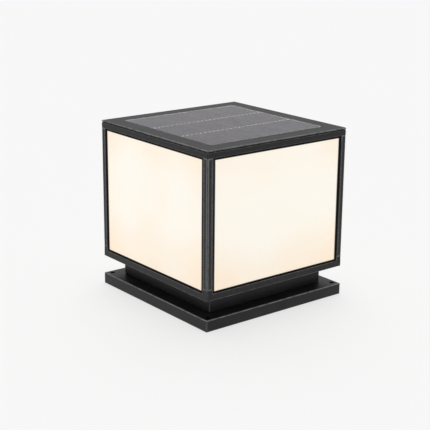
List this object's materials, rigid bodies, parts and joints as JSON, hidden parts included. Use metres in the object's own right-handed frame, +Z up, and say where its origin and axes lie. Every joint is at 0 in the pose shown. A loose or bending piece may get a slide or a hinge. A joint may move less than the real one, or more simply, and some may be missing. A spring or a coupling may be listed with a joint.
{
  "type": "solar pillar lantern",
  "caption": "Square pillar-top lantern: bolted base tray, set-back neck, black metal frame with opal panels, and a lift-off lid with a set-in solar panel and a light engine.",
  "frame": {"origin": "middle of the base tray's underside, on the plane it stands on", "axes": "+Z up, square sides along X and Y, front face towards -Y"},
  "size_m": [0.4, 0.4, 0.4],
  "materials": {
    "black_steel": "semi-gloss black powder coat",
    "black_aluminium": "semi-gloss black powder coat",
    "white_steel": "matt white paint",
    "zinc_steel": "zinc plated",
    "key_aluminium": "mill finish",
    "opal_plastic": "opal acrylic, lit warm white from inside",
    "black_rubber": "matt",
    "clear_glass": "clear, polished",
    "solar_cell": "dark blue-black silicon",
    "tinned_ribbon": "bright tinned",
    "white_sheet": "grey-blue sheet",
    "white_housing": "fine matt",
    "black_plastic": "matt",
    "cell_sleeve": "shrink sleeve",
    "board_green": "solder mask",
    "board_white": "white solder mask on aluminium",
    "led_yellow": "phosphor",
    "button_red": "gloss",
    "lead_sleeve": "PVC sleeve"
  },
  "bodies": {
    "base": {"base_tray": "black_steel", "neck": "black_steel", "neck_bolts": "zinc_steel", "neck_nuts": "zinc_steel", "floor_plate": "white_steel", "bottom_corner_keys": "key_aluminium", "top_corner_keys": "key_aluminium", "post_foot_screws": "zinc_steel", "post_head_screws": "zinc_steel", "bottom_rail_front": "black_aluminium", "bottom_rail_right": "black_aluminium", "bottom_rail_back": "black_aluminium", "bottom_rail_left": "black_aluminium", "top_rail_front": "black_aluminium", "top_rail_right": "black_aluminium", "top_rail_back": "black_aluminium", "top_rail_left": "black_aluminium", "corner_post_front_left": "black_aluminium", "corner_post_front_right": "black_aluminium", "corner_post_back_right": "black_aluminium", "corner_post_back_left": "black_aluminium", "diffuser_front": "opal_plastic", "diffuser_right": "opal_plastic", "diffuser_back": "opal_plastic", "diffuser_left": "opal_plastic", "glazing_seal_front": "black_rubber", "glazing_seal_right": "black_rubber", "glazing_seal_back": "black_rubber", "glazing_seal_left": "black_rubber"},
    "lid": {"lid_cover": "black_aluminium", "lid_gasket": "black_rubber", "lid_tongues": "zinc_steel", "tongue_rivets": "zinc_steel", "solar_glass": "clear_glass", "solar_cells": "solar_cell", "cell_links": "tinned_ribbon", "solar_backsheet": "white_sheet", "solar_sealant": "black_rubber", "lead_grommet": "black_rubber", "lid_studs": "zinc_steel", "stud_nuts": "zinc_steel", "housing_back": "white_housing", "housing_body": "white_housing", "housing_seal": "black_rubber", "housing_screws": "zinc_steel", "battery_cells": "cell_sleeve", "battery_cradle": "black_plastic", "cell_tabs": "tinned_ribbon", "controller_board": "board_green", "board_parts": "black_plastic", "led_board": "board_white", "led_chips": "led_yellow", "led_cover": "opal_plastic", "led_cover_screws": "zinc_steel", "switch_body": "black_plastic", "switch_nut": "black_plastic", "switch_washer": "black_rubber", "panel_leads": "lead_sleeve", "inner_leads": "lead_sleeve"},
    "switch_button": {"switch_button": "button_red"}
  },
  "joints": [
    {"name": "lid_lift", "type": "slide", "parent": "base", "child": "lid", "axis": [0, 0, 1], "range_m": [0, 0.12]},
    {"name": "switch_press", "type": "slide", "parent": "lid", "child": "switch_button", "axis": [0, 0, 1], "range_m": [0, 0.0015], "stiffness_N_per_m": 1500, "springref_m": -0.001}
  ]
}
